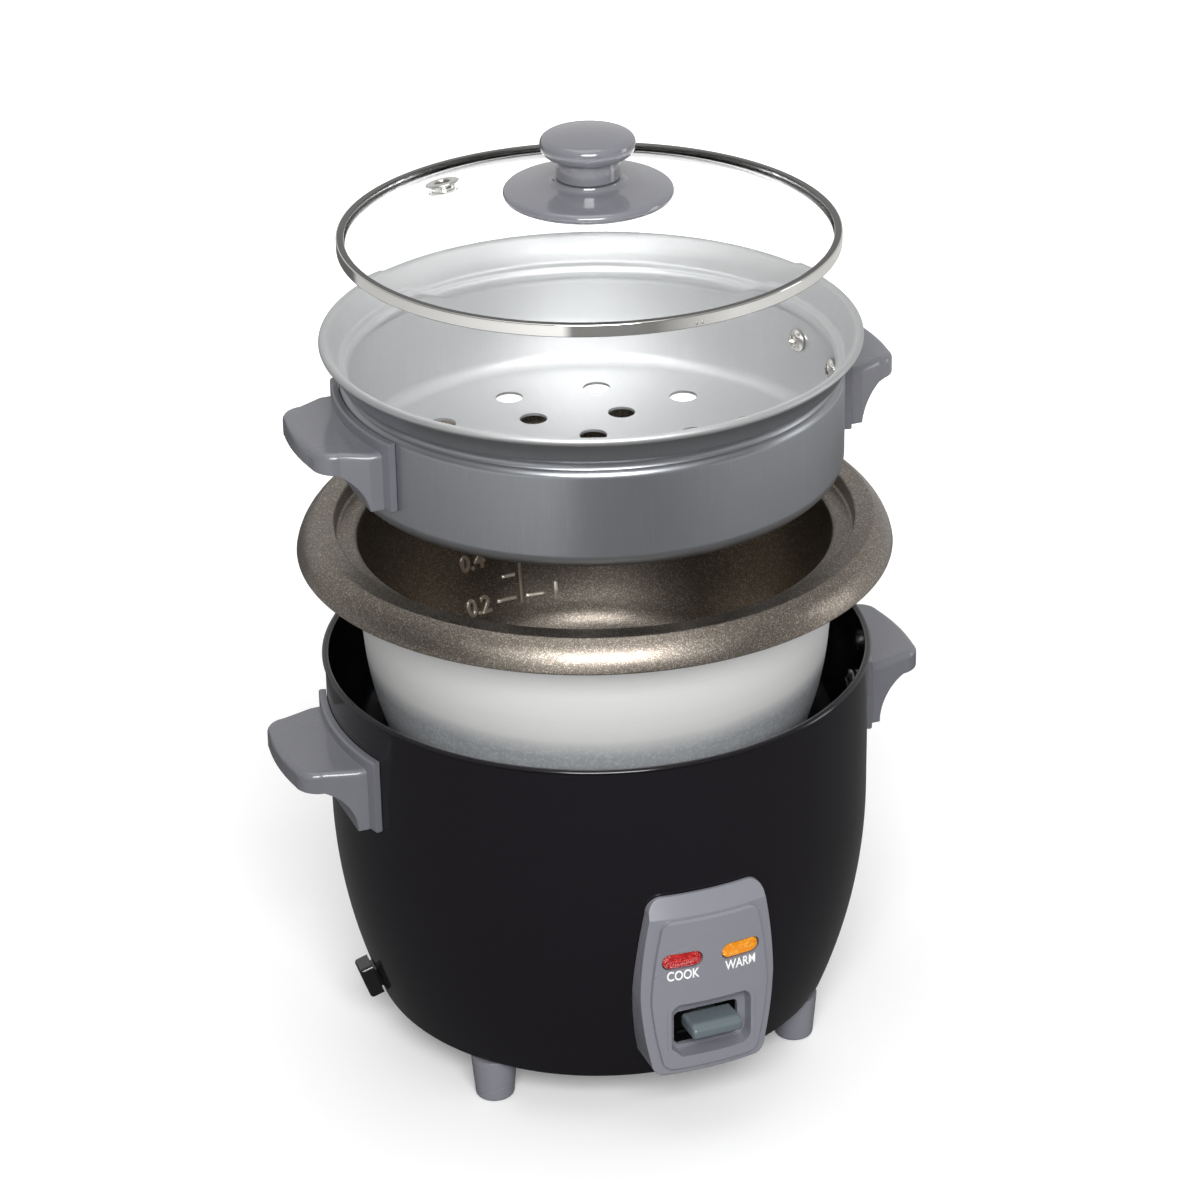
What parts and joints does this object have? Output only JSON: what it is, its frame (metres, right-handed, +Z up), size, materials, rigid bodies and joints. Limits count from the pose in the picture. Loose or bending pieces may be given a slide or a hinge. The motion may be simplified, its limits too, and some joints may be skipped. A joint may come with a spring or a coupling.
{
  "type": "rice cooker",
  "caption": "Electric rice cooker with a steamer basket and a glass lid, held one above another: round body, wide-flanged pot, perforated basket with two handles, domed lid with a knob.",
  "frame": {"origin": "on the floor under the cooker's vertical axis, midway between the feet", "axes": "+Z up along the cooker's axis; the control panel faces -Y; the handles point to +X and -X"},
  "size_m": [0.2488, 0.2207, 0.3516],
  "materials": {
    "shell_enamel": "warm black gloss enamel on pressed steel",
    "black_steel": "satin black painted steel",
    "grey_plastic": "mid grey moulded plastic, semi-gloss",
    "panel_plastic": "mid grey moulded plastic, satin gloss",
    "knob_plastic": "mid grey moulded plastic, high gloss",
    "lever_plastic": "blue-grey moulded plastic",
    "gland_plastic": "glossy black moulded plastic",
    "black_plastic": "matt black moulded plastic",
    "red_lens": "translucent red with a prismatic back",
    "amber_lens": "translucent amber with a prismatic back",
    "lamp_glass": "clear glass lamp",
    "circuit_board": "bare laminate",
    "tray_steel": "zinc-plated pressed steel",
    "zinc_screw": "bright plated steel",
    "spring_steel": "drawn spring wire",
    "cast_aluminium": "cast, faced on top",
    "ceramic": "white glazed ceramic",
    "wire_sleeve": "woven glass sleeve",
    "pot_coating": "brown-grey metallic non-stick inside and on the flange, bright satin outside",
    "brushed_aluminium": "satin spun aluminium, brushed outside",
    "lid_glass": "clear tempered glass",
    "polished_steel": "polished stainless steel",
    "silicone": "clear silicone"
  },
  "bodies": {
    "base": {"outer_shell": "shell_enamel", "base_cover": "black_steel", "feet": "grey_plastic", "foot_screws": "zinc_screw", "inner_tray": "tray_steel", "heating_plate": "cast_aluminium", "element_pins": "zinc_screw", "plate_posts": "zinc_screw", "thermostat_cup": "tray_steel", "sensor_spring": "spring_steel", "lever_bracket": "tray_steel", "lever_pin": "zinc_screw", "microswitch": "black_plastic", "thermal_fuse": "ceramic", "terminal_block": "ceramic", "warm_resistor": "ceramic", "cook_lamp": "lamp_glass", "warm_lamp": "lamp_glass", "lamp_board": "circuit_board", "control_panel": "panel_plastic", "cook_lens": "red_lens", "warm_lens": "amber_lens", "cord_gland": "gland_plastic", "wiring": "wire_sleeve", "body_handle_left": "grey_plastic", "body_handle_right": "grey_plastic", "handle_screws": "zinc_screw"},
    "sensor": {"sensor_cap": "cast_aluminium"},
    "magnet": {"magnet_rod": "zinc_screw"},
    "lever": {"lever_arm": "tray_steel", "lever_paddle": "lever_plastic"},
    "pot": {"inner_pot": "pot_coating"},
    "basket": {"steamer_basket": "brushed_aluminium", "steamer_handle_left": "grey_plastic", "steamer_handle_right": "grey_plastic", "steamer_screws": "zinc_screw"},
    "lid": {"lid_glass": "lid_glass", "lid_band": "polished_steel", "knob_base": "knob_plastic", "lid_knob": "knob_plastic", "knob_screw": "zinc_screw", "knob_washer": "silicone", "vent_eyelet": "polished_steel"}
  },
  "joints": [
    {"name": "pot_lift", "type": "slide", "parent": "base", "child": "pot", "axis": [0, 0, 1], "range_m": [-0.0495, 0.06]},
    {"name": "basket_lift", "type": "slide", "parent": "pot", "child": "basket", "axis": [0, 0, 1], "range_m": [-0.0254, 0.06]},
    {"name": "lid_lift", "type": "slide", "parent": "basket", "child": "lid", "axis": [0, 0, 1], "range_m": [-0.0433, 0.06]},
    {"name": "cook_lever_tilt", "type": "hinge", "parent": "base", "child": "lever", "pos_m": [0, -0.05, 0.0326], "axis": [1, 0, 0], "range_deg": [0, 6.5]},
    {"name": "magnet_slide", "type": "slide", "parent": "base", "child": "magnet", "axis": [0, 0, 1], "range_m": [0, 0.0057]},
    {"name": "sensor_press", "type": "slide", "parent": "base", "child": "sensor", "axis": [0, 0, 1], "range_m": [-0.0015, 0], "stiffness_N_per_m": 300, "springref_m": 0.004, "deforming": ["sensor_spring"]}
  ],
  "couplings": [
    {"joint": "magnet_slide", "follows": "cook_lever_tilt", "m_per_rad": 0.05}
  ]
}
